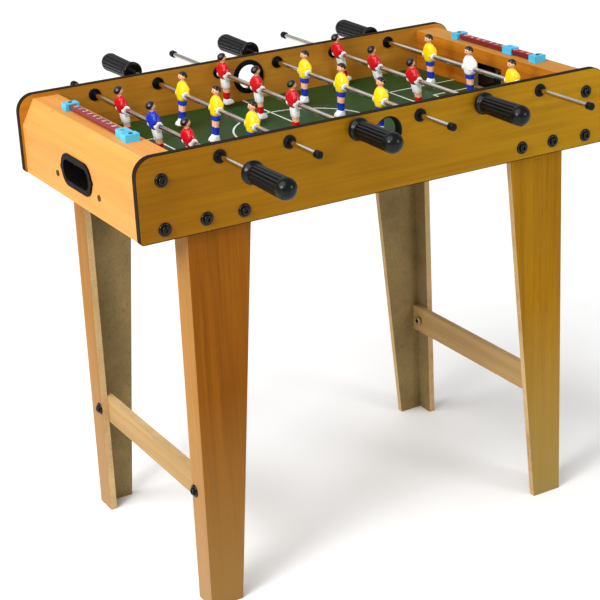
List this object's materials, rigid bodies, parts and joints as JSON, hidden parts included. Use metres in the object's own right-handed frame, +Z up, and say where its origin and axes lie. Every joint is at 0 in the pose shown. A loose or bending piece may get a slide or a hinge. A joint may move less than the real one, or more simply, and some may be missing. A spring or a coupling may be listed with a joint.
{
  "type": "foosball table",
  "caption": "Small football table on four folded board legs, with sliding and spinning player rods, ribbed handles, end ledges with score sliders and a ball return at each end.",
  "frame": {"origin": "the point on the floor under the middle of the cabinet", "axes": "+X along the table towards the right goal, +Y along the rods towards the back side, +Z up"},
  "size_m": [0.69, 0.7015, 0.635],
  "materials": {
    "panel_wood": "satin foil, horizontal grain",
    "end_wood": "satin foil",
    "wall_wood": "satin foil",
    "leg_wood": "satin foil, vertical grain, raw fibreboard inside",
    "stretcher_wood": "satin foil",
    "raw_wood": "raw",
    "edge_band": "matte",
    "field_green": "printed, satin",
    "line_white": "printed",
    "black_plastic": "satin",
    "rod_steel": "polished",
    "bolt_black": "black oxide",
    "nut_metal": "plated",
    "scorer_cyan": "gloss",
    "scorer_red": "gloss",
    "digit_white": "printed",
    "player_red": "gloss paint",
    "player_yellow": "gloss paint",
    "player_blue": "gloss paint",
    "player_white": "gloss paint",
    "player_skin": "gloss paint",
    "player_hair": "gloss paint"
  },
  "bodies": {
    "root": {"front_panel": "panel_wood", "back_panel": "panel_wood", "edge_bands": "edge_band", "left_end_board": "end_wood", "right_end_board": "end_wood", "left_goal_wall": "wall_wood", "right_goal_wall": "wall_wood", "playfield": "field_green", "playfield_battens": "raw_wood", "corner_blocks": "raw_wood", "guide_blocks": "raw_wood", "left_ball_return": "black_plastic", "right_ball_return": "black_plastic", "guide_screws": "bolt_black", "ball_entry_cups": "black_plastic", "rod_bushes": "black_plastic", "bush_rings": "black_plastic", "scorer_brackets": "scorer_cyan", "scorer_screws": "bolt_black", "left_scorer_bar": "scorer_red", "right_scorer_bar": "scorer_red", "leg_front_left": "leg_wood", "leg_front_right": "leg_wood", "leg_back_left": "leg_wood", "leg_back_right": "leg_wood", "left_stretcher": "stretcher_wood", "right_stretcher": "stretcher_wood", "corner_bolts": "bolt_black", "leg_bolts": "bolt_black", "stretcher_bolts": "bolt_black", "cup_washers": "bolt_black", "barrel_nuts": "nut_metal"},
    "left_score_slider": {"left_score_slider": "scorer_cyan"},
    "right_score_slider": {"right_score_slider": "scorer_cyan"},
    "rod_1": {"rod_1_tube": "rod_steel"},
    "rod_1_team": {"rod_1_handle": "black_plastic", "rod_1_cap": "black_plastic", "rod_1_players": "player_red", "rod_1_goalkeeper": "player_blue"},
    "rod_2": {"rod_2_tube": "rod_steel"},
    "rod_2_team": {"rod_2_handle": "black_plastic", "rod_2_cap": "black_plastic", "rod_2_players": "player_yellow"},
    "rod_3": {"rod_3_tube": "rod_steel"},
    "rod_3_team": {"rod_3_handle": "black_plastic", "rod_3_cap": "black_plastic", "rod_3_players": "player_red"},
    "rod_4": {"rod_4_tube": "rod_steel"},
    "rod_4_team": {"rod_4_handle": "black_plastic", "rod_4_cap": "black_plastic", "rod_4_players": "player_yellow"},
    "rod_5": {"rod_5_tube": "rod_steel"},
    "rod_5_team": {"rod_5_handle": "black_plastic", "rod_5_cap": "black_plastic", "rod_5_players": "player_red"},
    "rod_6": {"rod_6_tube": "rod_steel"},
    "rod_6_team": {"rod_6_handle": "black_plastic", "rod_6_cap": "black_plastic", "rod_6_players": "player_yellow", "rod_6_goalkeeper": "player_white"}
  },
  "joints": [
    {"name": "rod_1_slide", "type": "slide", "parent": "root", "child": "rod_1", "axis": [0, 1, 0], "range_m": [-0.0515, 0.0745]},
    {"name": "rod_1_spin", "type": "hinge", "parent": "rod_1", "child": "rod_1_team", "pos_m": [-0.2355, -0.0115, 0.604], "axis": [0, 1, 0], "continuous": true},
    {"name": "rod_2_slide", "type": "slide", "parent": "root", "child": "rod_2", "axis": [0, 1, 0], "range_m": [-0.067, 0.059]},
    {"name": "rod_2_spin", "type": "hinge", "parent": "rod_2", "child": "rod_2_team", "pos_m": [-0.1413, 0.004, 0.604], "axis": [0, 1, 0], "continuous": true},
    {"name": "rod_3_slide", "type": "slide", "parent": "root", "child": "rod_3", "axis": [0, 1, 0], "range_m": [-0.126, 0]},
    {"name": "rod_3_spin", "type": "hinge", "parent": "rod_3", "child": "rod_3_team", "pos_m": [-0.0471, 0.063, 0.604], "axis": [0, 1, 0], "continuous": true},
    {"name": "rod_4_slide", "type": "slide", "parent": "root", "child": "rod_4", "axis": [0, 1, 0], "range_m": [-0.065, 0.061]},
    {"name": "rod_4_spin", "type": "hinge", "parent": "rod_4", "child": "rod_4_team", "pos_m": [0.0471, 0.002, 0.604], "axis": [0, 1, 0], "continuous": true},
    {"name": "rod_5_slide", "type": "slide", "parent": "root", "child": "rod_5", "axis": [0, 1, 0], "range_m": [-0.126, 0]},
    {"name": "rod_5_spin", "type": "hinge", "parent": "rod_5", "child": "rod_5_team", "pos_m": [0.1413, 0.063, 0.604], "axis": [0, 1, 0], "continuous": true},
    {"name": "rod_6_slide", "type": "slide", "parent": "root", "child": "rod_6", "axis": [0, 1, 0], "range_m": [-0.033, 0.093]},
    {"name": "rod_6_spin", "type": "hinge", "parent": "rod_6", "child": "rod_6_team", "pos_m": [0.2355, -0.03, 0.604], "axis": [0, 1, 0], "continuous": true},
    {"name": "left_score_slide", "type": "slide", "parent": "root", "child": "left_score_slider", "axis": [0, 1, 0], "range_m": [-0.0002, 0.1472]},
    {"name": "right_score_slide", "type": "slide", "parent": "root", "child": "right_score_slider", "axis": [0, 1, 0], "range_m": [-0.0427, 0.1047]}
  ]
}
